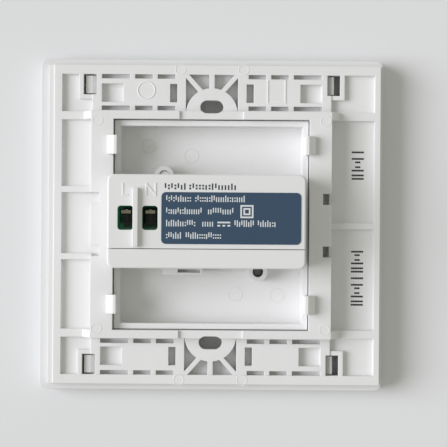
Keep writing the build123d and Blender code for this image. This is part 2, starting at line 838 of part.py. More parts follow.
# USB contacts: four strips under the tongue, bent down to the board behind the socket
tongue_front = usb_recess + tongue_setback
contact_top = usb_opening_height / 2 - tongue_top_gap - tongue_thickness
contact_pitches = (contact_outer_pitch, contact_inner_pitch)
contact_places = [side * pitch / 2 for pitch in contact_pitches for side in (-1, 1)]
with BuildPart() as usb_contacts:
    for place in contact_places:
        contact_x = (place - contact_width / 2, place + contact_width / 2)
        span_box(
            contact_x,
            (contact_top, contact_top + contact_sheet),
            (tongue_front + contact_width, usb_back + contact_sheet),
        )
        span_box(contact_x, (board_top, contact_top + contact_sheet), (usb_back, usb_back + contact_sheet))
usb_contacts.part.label = "usb_contacts"
export_step(usb_contacts.part, "parts/usb_contacts.step")

# USB insulator: tongue and the block behind it
with BuildPart() as usb_tongue:
    span_box(
        (tongue_side_gap - usb_opening_width / 2, usb_opening_width / 2 - tongue_side_gap),
        (contact_top, contact_top + tongue_thickness),
        (tongue_front, usb_back),
    )
    span_box(
        (-usb_opening_width / 2, usb_opening_width / 2),
        (-usb_opening_height / 2, usb_opening_height / 2),
        (usb_back - usb_block, usb_back),
    )
    add(usb_contacts.part, mode=Mode.SUBTRACT)
usb_tongue.part.label = "usb_tongue"
export_step(usb_tongue.part, "parts/usb_tongue.step")

# USB shell: folded sheet tube round the opening
with BuildPart() as usb_shell:
    with BuildSketch(Plane.XY.offset(usb_recess)):
        RectangleRounded(usb_width, usb_height, 2 * usb_sheet)
        Rectangle(usb_opening_width, usb_opening_height, mode=Mode.SUBTRACT)
    extrude(amount=usb_length)
usb_shell.part.label = "usb_shell"
export_step(usb_shell.part, "parts/usb_shell.step")


def standing_can(x, z, diameter, height):
    """Capacitor can standing on the board, with a bevelled top edge."""
    radius = diameter / 2
    bevel = diameter / 16
    with BuildPart() as can:
        with BuildSketch(Plane((x, board_top, z))):
            with BuildLine():
                Polyline(
                    (0, 0),
                    (radius, 0),
                    (radius, height - bevel),
                    (radius - bevel, height),
                    (0, height),
                    close=True,
                )
            make_face()
        revolve(axis=Axis((x, board_top, z), (0, 1, 0)))
    return can.part


# Mains smoothing capacitors and the one across the output
with BuildPart() as bulk_capacitors:
    for place in bulk_places:
        add(standing_can(place, bulk_z, bulk_diameter, bulk_height))
bulk_capacitors.part.label = "bulk_capacitors"
export_step(bulk_capacitors.part, "parts/bulk_capacitors.step")

with BuildPart() as output_capacitor:
    add(standing_can(output_x, output_z, output_diameter, output_height))
output_capacitor.part.label = "output_capacitor"
export_step(output_capacitor.part, "parts/output_capacitor.step")

# Input choke: wound drum core standing on the board
with BuildPart() as input_choke:
    for level, diameter, height in (
        (0, choke_diameter, choke_flange),
        (choke_flange, choke_core, choke_height - 2 * choke_flange),
        (choke_height - choke_flange, choke_diameter, choke_flange),
    ):
        with BuildSketch(layer_at(board_top + level)):
            with Locations(on_layer(choke_x, choke_z)):
                Circle(diameter / 2)
        extrude(amount=height)
input_choke.part.label = "input_choke"
export_step(input_choke.part, "parts/input_choke.step")

# Fusible resistor lying along X on bent leads
with BuildPart() as fuse_resistor:
    fuse_y = board_top + fuse_diameter / 2 + fit_gap
    with BuildSketch(Plane.YZ.offset(choke_x - fuse_length / 2)):
        with Locations((fuse_y, fuse_z)):
            Circle(fuse_diameter / 2)
    extrude(amount=fuse_length)
    with BuildSketch(Plane.YZ.offset(choke_x - fuse_reach)):
        with Locations((fuse_y, fuse_z)):
            Circle(lead_diameter / 2)
    extrude(amount=2 * fuse_reach)
    with BuildSketch(layer_at(board_top)):
        with Locations(on_layer(choke_x - fuse_reach, fuse_z), on_layer(choke_x + fuse_reach, fuse_z)):
            Circle(lead_diameter / 2)
    extrude(amount=fuse_y + lead_diameter / 2 - board_top)
fuse_resistor.part.label = "fuse_resistor"
export_step(fuse_resistor.part, "parts/fuse_resistor.step")

# Disc capacitor across the isolation gap, standing on two leads
with BuildPart() as y_capacitor:
    disc_z = inner_back - part_gap - disc_diameter / 2
    disc_y = board_top + lead_diameter + disc_diameter / 2
    with BuildSketch(Plane.YZ.offset(disc_x - disc_thickness / 2)):
        with Locations((disc_y, disc_z)):
            Circle(disc_diameter / 2)
    extrude(amount=disc_thickness)
    with BuildSketch(layer_at(board_top)):
        for side in (-1, 1):
            with Locations(on_layer(disc_x, disc_z + side * disc_diameter / 4)):
                Circle(lead_diameter / 2)
    extrude(amount=disc_y - board_top)
y_capacitor.part.label = "y_capacitor"
export_step(y_capacitor.part, "parts/y_capacitor.step")

# Transformer: ferrite core with two windows, bobbin on the middle leg, winding between its flanges
bobbin_y = board_top + bobbin_height / 2
window_reach = core_width / 2 - core_yoke
bobbin_half_length = core_length / 2 - core_yoke - fit_gap / 2
with BuildPart() as transformer_core:
    with BuildSketch(layer_at(bobbin_y - core_height / 2)):
        with Locations(on_layer(core_x, core_z)):
            Rectangle(core_length, core_width)
            Rectangle(core_length - 2 * core_yoke, 2 * window_reach, mode=Mode.SUBTRACT)
            Rectangle(core_length, core_leg)
    extrude(amount=core_height)
transformer_core.part.label = "transformer_core"
export_step(transformer_core.part, "parts/transformer_core.step")

sleeve_half_width = core_leg / 2 + fit_gap + bobbin_wall
sleeve_half_height = core_height / 2 + fit_gap + bobbin_wall
with BuildPart() as transformer_bobbin:
    with BuildSketch(Plane.XY.offset(core_z - bobbin_half_length)):
        with Locations((core_x, bobbin_y)):
            Rectangle(2 * sleeve_half_width, 2 * sleeve_half_height)
    extrude(amount=2 * bobbin_half_length)
    for flange_front in (core_z - bobbin_half_length, core_z + bobbin_half_length - bobbin_wall):
        with BuildSketch(Plane.XY.offset(flange_front)):
            with Locations((core_x, bobbin_y)):
                Rectangle(2 * (window_reach - fit_gap), bobbin_height)
        extrude(amount=bobbin_wall)
    with BuildSketch(Plane.XY.offset(core_z - bobbin_half_length)):
        with Locations((core_x, bobbin_y)):
            Rectangle(core_leg + 2 * fit_gap, core_height + 2 * fit_gap)
    extrude(amount=2 * bobbin_half_length, mode=Mode.SUBTRACT)
transformer_bobbin.part.label = "transformer_bobbin"
export_step(transformer_bobbin.part, "parts/transformer_bobbin.step")

with BuildPart() as transformer_winding:
    winding_half_length = bobbin_half_length - bobbin_wall
    with BuildSketch(Plane.XY.offset(core_z - winding_half_length)):
        with Locations((core_x, bobbin_y)):
            RectangleRounded(2 * (window_reach - 2 * fit_gap), winding_height, bobbin_wall)
            Rectangle(2 * sleeve_half_width, 2 * sleeve_half_height, mode=Mode.SUBTRACT)
    extrude(amount=2 * winding_half_length)
transformer_winding.part.label = "transformer_winding"
export_step(transformer_winding.part, "parts/transformer_winding.step")

# Flat packages in a row under the board: middle X, size and legs on each of two sides
bridge_x = output_x - (output_diameter + bridge_size[0]) / 2
flat_packages = {
    "bridge_rectifier": (bridge_x, bridge_size, bridge_leg_count),
    "output_diode": (output_x, diode_size, diode_leg_count),
    "optocoupler": (disc_x, optocoupler_size, optocoupler_leg_count),
    "switch_chip": (core_x, switch_size, switch_leg_count),
}
for package, (place, (width, length, height), leg_count) in flat_packages.items():
    with BuildPart() as flat_package:
        leg_length = length + 2 * chip_leg_reach
        package_z = board_front + chip_margin + leg_length / 2
        with Locations((place, board_under - height / 2, package_z)):
            Box(width, height, length)
        with Locations((place, board_under - chip_leg_sheet / 2, package_z)):
            with GridLocations(width / leg_count, width, leg_count, 1):
                Box(chip_leg, chip_leg_sheet, leg_length)
    flat_package.part.label = package
    export_step(flat_package.part, "parts/" + package + ".step")
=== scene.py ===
"""Looks of a wall plate with a built-in USB charger, lying on its front, seen from its wall side."""

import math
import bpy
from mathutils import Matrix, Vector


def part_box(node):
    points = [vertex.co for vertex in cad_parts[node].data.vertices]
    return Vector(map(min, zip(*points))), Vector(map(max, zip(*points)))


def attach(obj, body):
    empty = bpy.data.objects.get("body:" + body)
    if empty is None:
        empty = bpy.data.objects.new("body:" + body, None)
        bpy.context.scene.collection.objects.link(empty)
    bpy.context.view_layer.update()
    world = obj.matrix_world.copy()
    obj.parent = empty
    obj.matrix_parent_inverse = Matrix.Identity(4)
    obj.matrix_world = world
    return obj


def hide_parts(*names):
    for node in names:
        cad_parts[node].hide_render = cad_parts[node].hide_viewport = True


bl_info = {
    "name": "USB wall plate",
    "version": (1, 0, 0),
    "blender": (4, 5, 0),
    "location": "View3D > Sidebar > Wall plate",
    "description": "Dresses the plate, its charger module and its terminals, and sets the stage",
    "category": "Object",
}

import bmesh
import bpy
from bpy.props import FloatProperty, FloatVectorProperty, IntProperty, PointerProperty
from mathutils import Matrix, Vector
from mathutils.bvhtree import BVHTree

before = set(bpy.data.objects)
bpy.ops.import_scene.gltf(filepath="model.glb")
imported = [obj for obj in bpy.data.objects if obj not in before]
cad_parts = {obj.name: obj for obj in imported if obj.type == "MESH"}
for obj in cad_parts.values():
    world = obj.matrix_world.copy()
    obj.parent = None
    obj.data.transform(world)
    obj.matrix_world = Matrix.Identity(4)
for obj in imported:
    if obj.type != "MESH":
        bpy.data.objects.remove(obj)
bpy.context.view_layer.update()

MM = 0.001
PLATE = "plate"
POLES = ("live", "neutral")
# A difference that can't be seen: nearer levels are the same, and crossing strokes differ by it
HAIR = 0.003 * MM
# Corners that are closer are one corner
WELD = 0.001 * MM
# Least Z of a level face's normal
LEVEL = 0.99
# Height from which rays look down on the part
RAY_START = 1000.0 * MM


def amount(name, description, value, **kind):
    """A number that a user would change."""
    return FloatProperty(name=name, description=description, default=value, **kind)


def length(name, description, millimetres):
    """A size that a user would change, given in millimetres."""
    return amount(name, description, millimetres * MM, unit="LENGTH", precision=5)


def angle(name, description, degrees):
    """An angle that a user would change, given in degrees."""
    return amount(name, description, math.radians(degrees), subtype="ANGLE")


def share(name, description, value, most=1.0):
    """A share of a whole that a user would change."""
    return amount(name, description, value, min=0.0, max=most, subtype="FACTOR")


def colour(name, description, values):
    """A colour that a user would change."""
    return FloatVectorProperty(
        name=name, description=description, default=values, size=3, subtype="COLOR", min=0.0, max=1.0
    )


class MouldingSettings(bpy.types.PropertyGroup):
    """Finish of the white mouldings."""

    white: colour("White", "Colour of the mouldings", (0.8, 0.798, 0.795))
    drift: colour("Drift", "Tint that the white drifts towards", (0.765, 0.765, 0.762))
    drift_size: length("Drift size", "Width of the tint's soft patches", 24.0)
    grain_size: length("Grain size", "Width of the tool's eroded grain", 0.16)
    grain_depth: length("Grain depth", "Depth of the eroded grain", 0.012)
    wave_size: length("Wave size", "Width of the moulding's slow waves", 5.0)
    wave_depth: length("Wave depth", "Depth of the moulding's slow waves", 0.05)
    gloss_size: length("Gloss size", "Width of the duller and glossier patches", 4.0)
    roughness: share("Roughness", "Middle roughness", 0.46)
    edge_round: length("Edge round", "Radius of the moulded edges", 0.115)
    edge_angle: angle("Edge angle", "Sharper edges are rounded", 35)
    crown_share: share("Crown share", "Share of a snap hook's width that is flat on top", 0.32, 0.9)
    crown_rise: length("Crown rise", "How much higher the tops of the snap hooks are", 1.15)
    lip_rise: length("Lip rise", "How much higher the outer edges of the snap hooks are", 0.55)
    well_depth: length("Well depth", "Depth of the wells in the right column's notches", 3.0)
    floor_lift: length("Floor lift", "How far the floors behind the grid's gaps are raised", 0.55)
    latch_depth: length("Latch depth", "Depth of the slot in the latch loop", 2.4)
    left_post: length("Left post", "How much thicker the posts of the cover's left hooks are", 0.75)
    right_post: length("Right post", "How much thinner the posts of the cover's right hooks are", 0.4)


class PrintSettings(bpy.types.PropertyGroup):
    """Label film, print and ink marks."""

    film: colour("Film", "Colour of the label", (0.021, 0.055, 0.098))
    pale_ink: colour("Pale ink", "Print on the label", (0.76, 0.79, 0.8))
    dark_ink: colour("Dark ink", "Print on the case", (0.022, 0.033, 0.045))
    jet_ink: colour("Jet ink", "Dotted marks in the pockets", (0.02, 0.02, 0.024))
    ink_film: length("Ink film", "Thickness of the ink", 0.02)
    stroke: length("Stroke", "Width of a print stroke", 0.27)
    symbol_stroke: length("Symbol stroke", "Width of a stroke in the nested squares and the bar", 0.4)
    heading_stroke: length("Heading stroke", "Width of a stroke in the heading", 0.38)
    cell: length("Cell", "Distance between print shapes", 0.58)
    heading_cell: length("Heading cell", "Distance between shapes in the heading", 0.78)
    tall: length("Tall", "Height of a tall print shape", 1.62)
    short: length("Short", "Height of a short print shape", 1.2)
    line_pitch: length("Line pitch", "Distance between print lines", 3.06)
    dot: length("Dot", "Diameter of a jet dot", 0.54)
    dot_pitch: length("Dot pitch", "Distance between jet dots", 0.44)
    seed: IntProperty(name="Seed", description="Seed of the print's shapes", default=7)


class MarkSettings(bpy.types.PropertyGroup):
    """Moulded marks."""

    letter_height: length("Letter height", "Height of the pole letters", 2.8)
    letter_stroke: length("Letter stroke", "Stroke of the pole letters", 0.55)
    letter_rise: length("Letter rise", "How far the pole letters stand out", 0.15)
    letter_draft: length("Letter draft", "How far the pole letters' sides lean in", 0.14)
    pin_radius: length("Pin radius", "Radius of an ejector pin's mark on the grid", 1.3)
    tray_pin_radius: length("Tray pin radius", "Radius of an ejector pin's mark in the tray", 1.8)
    pin_line: length("Pin line", "Half the width of an ejector mark's edge", 0.1)
    ring_radius: length("Ring radius", "Radius of the moulder's plain ring", 2.2)
    ring_line: length("Ring line", "Half the width of the plain ring", 0.16)
    frame_stroke: length("Frame stroke", "Stroke of the plain raised frame", 0.34)
    frame_rise: length("Frame rise", "How far the plain frame stands out", 0.16)
    frame_draft: length("Frame draft", "How far the plain frame's sides lean in", 0.05)


class StageSettings(bpy.types.PropertyGroup):
    """Floor, light and camera."""

    floor: colour("Floor", "Colour of the table", (0.78, 0.785, 0.79))
    floor_reach: length("Floor reach", "Half the width of the table", 2000.0)
    cloud_size: length("Cloud size", "Width of the soft patches on the table", 250.0)
    camera_height: length("Camera height", "Height of the camera over the floor", 430.0)
    camera_across: length("Camera across", "Camera's place along X", 3.17)
    camera_up: length("Camera up", "Camera's place along Y", 0.38)
    camera_lens: amount("Lens", "Focal length in millimetres", 132.5, unit="CAMERA")
    camera_roll: angle("Roll", "Turn of the camera about its axis", 0.4)
    key_strength: amount("Key", "Strength of the light from the left", 2.8)
    key_colour: colour("Key colour", "Tint of the light from the left", (0.93, 0.932, 1.0))
    key_elevation: angle("Key elevation", "Height of the light", 35)
    key_azimuth: angle("Key azimuth", "Turn of the light from -X to +Y", 4)
    key_spread: angle("Key spread", "Angle that the light fills", 40)
    fill_strength: amount("Fill", "Strength of the room's light", 0.4)
    fill_colour: colour("Fill colour", "Tint of the room's light", (1.0, 1.0, 0.895))


class PlateSettings(bpy.types.PropertyGroup):
    """All settings of the plate."""

    moulding: PointerProperty(type=MouldingSettings)
    printing: PointerProperty(type=PrintSettings)
    marks: PointerProperty(type=MarkSettings)
    stage: PointerProperty(type=StageSettings)


def arithmetic(operation, swapped=False):
    """Method that puts a signal and another value through a Math node."""

    def method(signal, other):
        first, second = (other, signal) if swapped else (signal, other)
        return signal.math(operation, first, second)

    return method


class Signal:
    """A node's output that takes part in Python arithmetic, with one Math node for each operation."""

    def __init__(self, sheet, socket):
        self.sheet = sheet
        self.socket = socket

    def math(self, operation, first, second):
        return self.sheet.node("ShaderNodeMath", {"operation": operation}, {0: first, 1: second})

    __add__ = arithmetic("ADD")
    __radd__ = arithmetic("ADD", swapped=True)
    __sub__ = arithmetic("SUBTRACT")
    __rsub__ = arithmetic("SUBTRACT", swapped=True)
    __mul__ = arithmetic("MULTIPLY")
    __rmul__ = arithmetic("MULTIPLY", swapped=True)
    __truediv__ = arithmetic("DIVIDE")
    __mod__ = arithmetic("FLOORED_MODULO")
    __lt__ = arithmetic("LESS_THAN")
    __gt__ = arithmetic("GREATER_THAN")


class NodeSheet:
    """A node tree with one short call for every kind of node."""

    def __init__(self, tree):
        self.tree = tree

    def node(self, kind, options=None, sockets=None, output=0):
        """Adds a node with its options and inputs, and gives its output if it has one."""
        made = self.tree.nodes.new(kind)
        for key, value in (options or {}).items():
            setattr(made, key, value)
        for key, value in (sockets or {}).items():
            if isinstance(value, Signal):
                self.tree.links.new(value.socket, made.inputs[key])
            else:
                made.inputs[key].default_value = value
        return Signal(self, made.outputs[output]) if made.outputs else made

    def gathered(self, parts):
        """Join Geometry node of several parts, in their order."""
        node = self.tree.nodes.new("GeometryNodeJoinGeometry")
        for part in reversed(parts):
            self.tree.links.new(part.socket, node.inputs[0])
        return Signal(self, node.outputs[0])


class Finish(NodeSheet):
    """A material under construction."""

    def __init__(self, name):
        self.material = bpy.data.materials.new(name)
        self.material.use_nodes = True
        super().__init__(self.material.node_tree)
        self.tree.nodes.clear()
        self.place = self.node("ShaderNodeTexCoord", output="Object")

    def noise(self, size, detail=2.0, vector=None):
        """Noise whose lumps are about the given size across."""
        sockets = {"Vector": vector or self.place, "Scale": 1.0 / size, "Detail": detail}
        return self.node("ShaderNodeTexNoise", {}, sockets)

    def along(self, axis):
        """Place along one axis."""
        return self.node("ShaderNodeSeparateXYZ", {}, {0: self.place}, output=axis)

    def stretched(self, scale):
        """Place scaled along each axis, for grain that runs one way."""
        return self.node("ShaderNodeMapping", {}, {"Vector": self.place, "Scale": scale})

    def blend(self, factor, first, second):
        """Colour between two colours. Inputs 6 and 7 and output 2 are the node's colours."""
        sockets = {0: factor, 6: self.paint(first), 7: self.paint(second)}
        return self.node("ShaderNodeMix", {"data_type": "RGBA"}, sockets, output=2)

    @staticmethod
    def paint(value):
        return value if isinstance(value, Signal) else (*value, 1.0)

    @staticmethod
    def uneven(middle, spread, noise):
        """Value that strays from its middle with the noise, by up to half the spread each way."""
        return middle + spread * (noise - 0.5)

    def bump(self, height, depth):
        """Normal from a height between 0 and 1 that is the given depth deep."""
        return self.node("ShaderNodeBump", {}, {"Height": height, "Distance": depth, "Strength": 1.0})

    def done(self, **sockets):
        """Closes the material with one shader."""
        named = {key.replace("_", " ").title().replace("Ior", "IOR"): value for key, value in sockets.items()}
        named["Base Color"] = self.paint(named["Base Color"])
        shader = self.node("ShaderNodeBsdfPrincipled", {}, named)
        self.node("ShaderNodeOutputMaterial", {}, {"Surface": shader})
        return self.material


def shade(tint, factor):
    """A tint made darker or paler."""
    return [channel * factor for channel in tint]


def moulded_white(name, moulding, tone, gloss):
    """White moulded plastic: eroded grain, a soft drift of tint and slightly uneven gloss."""
    finish = Finish(name)
    drift = finish.noise(moulding.drift_size, detail=3.0)
    grain = finish.noise(moulding.grain_size, detail=4.0)
    wave = finish.noise(moulding.wave_size, detail=1.0)
    patches = finish.noise(moulding.gloss_size)
    return finish.done(
        base_color=finish.blend(drift, shade(moulding.white, tone), shade(moulding.drift, tone)),
        roughness=finish.uneven(moulding.roughness - gloss, 0.08, patches),
        normal=finish.bump(grain * moulding.grain_depth + wave * moulding.wave_depth, 1.0),
    )


def label_film(printing):
    """Dark film with a faint mottling and a soft sheen."""
    finish = Finish("label_film")
    cloud = finish.noise(6 * MM, detail=3.0)
    grain = finish.noise(0.2 * MM)
    return finish.done(
        base_color=finish.blend(cloud, shade(printing.film, 0.93), shade(printing.film, 1.08)),
        roughness=finish.uneven(0.34, 0.1, cloud),
        normal=finish.bump(grain, 0.004 * MM),
    )


def ink(name, tint):
    """Printed ink, a little uneven in cover."""
    finish = Finish(name)
    cover = finish.noise(0.5 * MM)
    return finish.done(
        base_color=finish.blend(cover, tint, shade(tint, 0.86)), roughness=finish.uneven(0.5, 0.1, cover)
    )


def nylon(name, tint):
    """Coloured moulded nylon with a slight gloss."""
    finish = Finish(name)
    cloud = finish.noise(3 * MM)
    grain = finish.noise(0.2 * MM)
    return finish.done(
        base_color=finish.blend(cloud, tint, shade(tint, 0.8)),
        roughness=finish.uneven(0.26, 0.1, cloud),
        normal=finish.bump(grain, 0.006 * MM),
    )


def nylon_with_painted_light(deep, rim, low, high, end, reach):
    """Green nylon with painted shade and light: dark where it is deep, which is painted shade, and paler at
    its rim and its left end, which is painted light.
    """
    finish = Finish("green_nylon")
    cloud = finish.noise(3 * MM)
    # Darker with depth below the rim: painted shade
    rise = (finish.along("Z") - low) / (high - low)
    # Paler towards the left end, where light enters the live entry: painted light
    painted_glow = (end + reach - finish.along("X")) / reach
    inside = finish.blend(painted_glow, deep, rim)
    return finish.done(
        base_color=finish.blend(rise, inside, rim),
        roughness=finish.uneven(0.3, 0.1, cloud),
        specular_ior_level=0.25,
        normal=finish.bump(cloud, 0.02 * MM),
    )


def metal(name, tint, along, roughness):
    """Plated metal with fine lines along one axis and dull patches."""
    finish = Finish(name)
    lines = finish.noise(0.12 * MM, detail=3.0, vector=finish.stretched(along))
    patches = finish.noise(1.5 * MM)
    return finish.done(
        base_color=finish.blend(patches, tint, shade(tint, 0.78)),
        metallic=1.0,
        roughness=finish.uneven(roughness, 0.16, patches),
        normal=finish.bump(lines, 0.004 * MM),
    )


def tinned_bar_with_painted_shade(tint, painted_shade_tint, level):
    """Tinned contact bar, bare at its back end and near black below the given level: painted shade on its
    deep end.
    """
    finish = Finish("tinned_bar")
    patches = finish.noise(0.8 * MM, detail=3.0)
    # Below the level the bar is near black: painted shade
    bare = finish.uneven(finish.along("Z"), MM, patches) > level
    lines = finish.noise(0.12 * MM, detail=3.0, vector=finish.stretched((0.2, 1.0, 1.0)))
    return finish.done(
        base_color=finish.blend(bare, painted_shade_tint, tint),
        metallic=0.4 + 0.6 * bare,
        roughness=finish.uneven(0.4, 0.2, patches),
        normal=finish.bump(lines, 0.004 * MM),
    )


def sintered(name, tint):
    """Dull pressed powder, as ferrite and resin are."""
    finish = Finish(name)
    specks = finish.noise(0.15 * MM, detail=4.0)
    return finish.done(
        base_color=finish.blend(specks, shade(tint, 0.8), shade(tint, 1.3)),
        roughness=finish.uneven(0.62, 0.2, specks),
        normal=finish.bump(specks, 0.01 * MM),
    )


def lacquered_board(tint):
    """Laminate under green lacquer, with its weave and paler copper tracks showing through."""
    track_pitch, track_gap = 2.6 * MM, 0.62
    break_pitch, break_gap = 5.2 * MM, 0.25
    finish = Finish("lacquered_board")
    across = (finish.along("X") / track_pitch) % 1.0 > track_gap
    along = (finish.along("Z") / break_pitch) % 1.0 > break_gap
    tracks = across * along
    weave = finish.noise(0.4 * MM, detail=1.0, vector=finish.stretched((1.0, 1.0, 4.0)))
    return finish.done(
        base_color=finish.blend(0.75 * tracks, tint, shade(tint, 1.9)),
        roughness=0.34 + 0.1 * weave,
        normal=finish.bump(weave + tracks, 0.02 * MM),
    )


def taped_winding(tint):
    """Yellow tape over wound wire, ridged along the winding, and darker in the grooves between turns, which
    is painted shade.
    """
    wire = 0.35 * MM
    finish = Finish("taped_winding")
    turn = (finish.along("Z") / wire) % 1.0
    ridge = 4.0 * turn * (1.0 - turn)
    # Colour darkens where the ridge falls to the grooves: painted shade
    return finish.done(
        base_color=finish.blend(ridge, shade(tint, 0.6), tint),
        roughness=0.4 + 0.1 * (1.0 - ridge),
        normal=finish.bump(ridge, 0.08 * MM),
    )


def sleeved_can(tint, top, stripe, seat, height):
    """Capacitor can: shrunk sleeve with a pale stripe, bare metal on top."""
    stripe_pitch, stripe_share = 4 * MM, 0.2
    finish = Finish("sleeved_can")
    bare = finish.along("Y") - seat > height
    band = (finish.along("Z") / stripe_pitch) % 1.0 < stripe_share
    sleeve = finish.blend(band, tint, stripe)
    cloud = finish.noise(2 * MM)
    return finish.done(
        base_color=finish.blend(bare, sleeve, top),
        metallic=0.9 * bare,
        roughness=finish.uneven(0.36, 0.12, cloud),
    )


def dress(material, *nodes):
    """Gives CAD nodes their finish."""
    for node in nodes:
        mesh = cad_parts[node].data
        mesh.materials.clear()
        mesh.materials.append(material)


def linked(name, data):
    """New object in the scene."""
    made = bpy.data.objects.new(name, data)
    bpy.context.scene.collection.objects.link(made)
    return made


def add_piece(name, mesh, material, stands_for=()):
    """Links a finished mesh as a piece that rides on the plate."""
    mesh.materials.clear()
    mesh.materials.append(material)
    piece = linked(name, mesh)
    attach(piece, PLATE)
    if stands_for:
        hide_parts(*stands_for)


def mesh_of(name, shape):
    """Mesh of a finished shape, which is freed."""
    mesh = bpy.data.meshes.new(name)
    shape.to_mesh(mesh)
    shape.free()
    return mesh


def skin(shape, rings):
    """Closes a row of rings of corners into a solid, with a cap at both ends."""
    shape.faces.new(rings[0][::-1])
    shape.faces.new(rings[-1])
    for first, second in zip(rings, rings[1:]):
        for here in range(len(first)):
            there = (here + 1) % len(first)
            shape.faces.new((first[here], first[there], second[there], second[here]))


def rounded_mesh(name, shape, moulding):
    """Mesh of a finished shape with its sharp edges rounded."""
    sharp = [
        edge for edge in shape.edges if edge.is_manifold and edge.calc_face_angle() > moulding.edge_angle
    ]
    reach = moulding.edge_round
    bmesh.ops.bevel(
        shape, geom=sharp, offset=reach, segments=2, profile=0.5, affect="EDGES", clamp_overlap=False
    )
    mesh = mesh_of(name, shape)
    level_normals(mesh)
    return mesh


def soft_edged(node, material, moulding, alter=None):
    """Adds a piece that stands for a moulded node: its form, altered where asked, with rounded edges."""
    shape = bmesh.new()
    shape.from_mesh(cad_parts[node].data)
    bmesh.ops.remove_doubles(shape, verts=shape.verts, dist=WELD)
    if alter:
        alter(shape, moulding)
    mesh = rounded_mesh(node + "_moulding", shape, moulding)
    add_piece(mesh.name, mesh, material, stands_for=(node,))


def sink_well(shape, low, high, depth):
    """Sinks the level floor between two corners, cut off from the floor beyond its largest x."""

    def within(face):
        spots = [corner.co for corner in face.verts]
        return all(low[axis] - HAIR < spot[axis] < high[axis] + HAIR for spot in spots for axis in range(3))

    level = [face for face in shape.faces if face.normal.z > LEVEL]
    level = [face for face in level if abs(face.calc_center_median().z - low.z) < HAIR]
    parts = {part for face in level for part in (face, *face.edges, *face.verts)}
    bmesh.ops.bisect_plane(shape, geom=list(parts), plane_co=(high.x, 0.0, 0.0), plane_no=(1.0, 0.0, 0.0))
    floor = [face for face in shape.faces if face.normal.z > LEVEL and within(face)]
    if not floor:
        raise ValueError("no floor to sink")
    grown = bmesh.ops.extrude_face_region(shape, geom=floor)["geom"]
    corners = [part for part in grown if isinstance(part, bmesh.types.BMVert)]
    bmesh.ops.translate(shape, vec=(0.0, 0.0, -depth), verts=corners)
    bmesh.ops.delete(shape, geom=[face for face in floor if face.is_valid], context="FACES_ONLY")
    bmesh.ops.triangulate(shape, faces=[face for face in shape.faces if len(face.verts) > 3])


def level_normals(mesh):
    """Smooth shading that keeps large faces flat: a corner's normal is weighted by its faces' areas."""
    sums = [Vector() for _ in mesh.vertices]
    for face in mesh.polygons:
        face.use_smooth = True
        for corner in face.vertices:
            sums[corner] += face.area * face.normal
    mesh.normals_split_custom_set_from_vertices([total.normalized() for total in sums])


def resting_points(node, places, lift=0.0):
    """Points on a node's highest surface over the given places, lifted a little."""
    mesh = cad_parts[node].data
    faces = [tuple(face.vertices) for face in mesh.polygons]
    tree = BVHTree.FromPolygons([corner.co for corner in mesh.vertices], faces)
    points = []
    for x, y in places:
        hit = tree.ray_cast(Vector((x, y, RAY_START)), Vector((0.0, 0.0, -1.0)))[0]
        if hit is None:
            raise ValueError(f"nothing of {node} lies under {x:.4f}, {y:.4f}")
        points.append((x, y, hit.z + lift))
    return points


def new_growth(name, inputs):
    """Empty geometry tree with the given named inputs: name to kind of socket."""
    tree = bpy.data.node_groups.new(name, "GeometryNodeTree")
    tree.interface.new_socket("Geometry", in_out="OUTPUT", socket_type="NodeSocketGeometry")
    for key, kind in inputs.items():
        tree.interface.new_socket(key, in_out="INPUT", socket_type="NodeSocket" + kind)
    sheet = NodeSheet(tree)
    source = tree.nodes.new("NodeGroupInput")
    return sheet, {key: Signal(sheet, source.outputs[key]) for key in inputs}


def close_growth(sheet, instances, material):
    """Ends a tree in plain geometry with its material."""
    real = sheet.node("GeometryNodeRealizeInstances", {}, {"Geometry": instances})
    painted = sheet.node("GeometryNodeSetMaterial", {}, {"Geometry": real, "Material": material})
    sheet.node("NodeGroupOutput", {}, {"Geometry": painted})
    return sheet.tree


def grow(tree, values, points=None):
    """Plain mesh of a geometry tree with the given inputs, grown on points if there are any."""
    seed_mesh = bpy.data.meshes.new("growth_points")
    seed_mesh.from_pydata(points or [], [], [])
    carrier = linked("growth", seed_mesh)
    modifier = carrier.modifiers.new("growth", "NODES")
    modifier.node_group = tree
    for item in tree.interface.items_tree:
        if item.in_out == "INPUT" and item.name in values:
            modifier[item.identifier] = values[item.name]
    bpy.context.view_layer.update()
    graph = bpy.context.evaluated_depsgraph_get()
    mesh = bpy.data.meshes.new_from_object(carrier.evaluated_get(graph), depsgraph=graph)
    bpy.data.objects.remove(carrier)
    bpy.data.meshes.remove(seed_mesh)
    return mesh


def joined(name, meshes):
    """One mesh from several, which are removed."""
    shape = bmesh.new()
    for mesh in meshes:
        shape.from_mesh(mesh)
        bpy.data.meshes.remove(mesh)
    return mesh_of(name, shape)


def flat_bar(sheet, left, low, width, height, film):
    """Flat bar of ink between a low left corner and its width and height."""
    size = sheet.node("ShaderNodeCombineXYZ", {}, {"X": width, "Y": height, "Z": film})
    centre = {"X": left + width * 0.5, "Y": low + height * 0.5, "Z": film * 0.5}
    middle = sheet.node("ShaderNodeCombineXYZ", {}, centre)
    bar = sheet.node("GeometryNodeMeshCube", {}, {"Size": size})
    return sheet.node("GeometryNodeTransform", {}, {"Geometry": bar, "Translation": middle})


